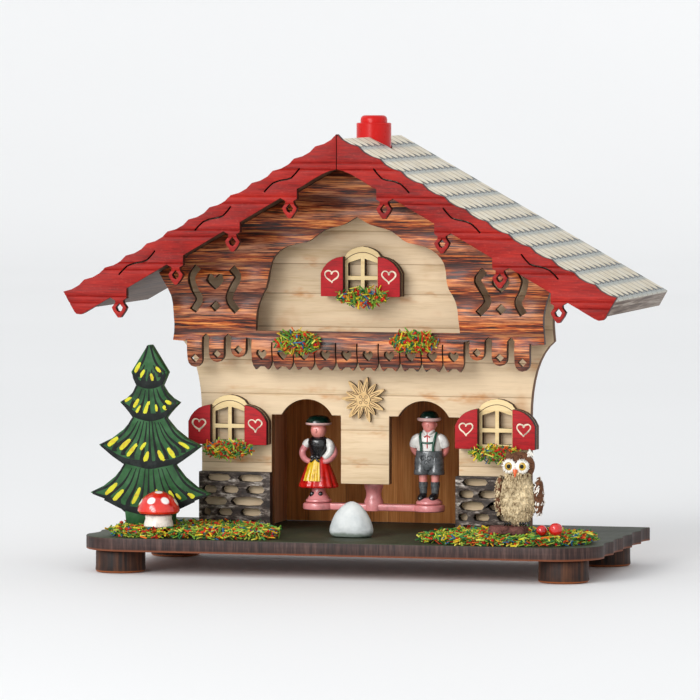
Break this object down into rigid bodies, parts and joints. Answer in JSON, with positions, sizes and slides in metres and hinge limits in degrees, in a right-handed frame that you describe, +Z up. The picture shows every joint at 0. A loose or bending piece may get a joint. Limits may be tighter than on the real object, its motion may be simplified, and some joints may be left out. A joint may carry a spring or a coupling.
{
  "type": "weather house",
  "caption": "Chalet-shaped wooden weather house: a gut-hung beam swings a figure out of either doorway, and a chimney knob sets it.",
  "frame": {"origin": "under the middle of the whole object, level with the underside of the feet", "axes": "+X to the right seen from the front, +Y towards the back panel, +Z up; the facade looks along -Y"},
  "size_m": [0.2088, 0.102, 0.1682],
  "materials": {
    "barge_red": "red stain, satin, faint grain",
    "dark_wood": "dark reddish stain, glossy lacquer, dark grain",
    "light_wood": "raw light plywood, matt",
    "frame_wood": "raw light plywood, matt",
    "shutter_red": "red stain with pale engraved hearts",
    "stone_wood": "charcoal stain, worn",
    "inner_wood": "brown stain, vertical grain",
    "base_green": "dark green paint, brown cut edges",
    "foot_wood": "orange-brown stain on end grain",
    "roof_tiles": "board printed with pale beaver-tail tiles",
    "tree_green": "green paint with black and yellow brush marks",
    "pink_plastic": "moulded plastic, painted clothes",
    "knob_red": "bright red moulding",
    "foam": "dyed shredded foam",
    "rock_white": "rough white pebble",
    "star_wood": "thin ply with burnt edges",
    "mushroom_red": "glossy red paint",
    "stem_white": "matt white",
    "owl_cream": "pale fluff",
    "owl_brown": "brown and white flecks",
    "gut": "translucent twisted gut"
  },
  "bodies": {
    "house": {"back_panel": "inner_wood", "balcony_floor": "light_wood", "bargeboard_left": "barge_red", "bargeboard_right": "barge_red", "base_board": "base_green", "berry_1": "mushroom_red", "berry_2": "mushroom_red", "edelweiss": "star_wood", "fir_tree": "tree_green", "flower_bed_left": "foam", "flower_bed_right": "foam", "flowers_balcony_left": "foam", "flowers_balcony_right": "foam", "flowers_low_window_left": "foam", "flowers_low_window_right": "foam", "flowers_top_window": "foam", "foot_back_left": "foot_wood", "foot_back_right": "foot_wood", "foot_front_left": "foot_wood", "foot_front_right": "foot_wood", "front_wall": "light_wood", "gable_board": "dark_wood", "gable_spacer_left": "light_wood", "gable_spacer_right": "light_wood", "gable_spacer_top": "light_wood", "knob_block": "inner_wood", "mushroom_cap": "mushroom_red", "mushroom_stem": "stem_white", "owl_bark": "owl_brown", "owl_body": "owl_cream", "owl_wing_left": "owl_brown", "owl_wing_right": "owl_brown", "rock": "rock_white", "roof_left": "roof_tiles", "roof_right": "roof_tiles", "shutter_low_left_left": "shutter_red", "shutter_low_left_right": "shutter_red", "shutter_low_right_left": "shutter_red", "shutter_low_right_right": "shutter_red", "shutter_top_left": "shutter_red", "shutter_top_right": "shutter_red", "side_wall_left": "inner_wood", "side_wall_right": "inner_wood", "stone_panel_left": "stone_wood", "stone_panel_right": "stone_wood", "window_frame_low_left": "frame_wood", "window_frame_low_right": "frame_wood", "window_frame_top": "frame_wood"},
    "knob": {"chimney_knob": "knob_red"},
    "beam": {"figure_beam": "pink_plastic", "gut_string": "gut", "man_figure": "pink_plastic", "woman_figure": "pink_plastic"}
  },
  "joints": [
    {"name": "knob_turn", "type": "hinge", "parent": "house", "child": "knob", "pos_m": [0, 0.011, 0.15], "axis": [0, 0, 1], "range_deg": [-180, 180]},
    {"name": "beam_swing", "type": "hinge", "parent": "house", "child": "beam", "pos_m": [0, 0.011, 0.03], "axis": [0, 0, 1], "range_deg": [-35, 35]}
  ]
}
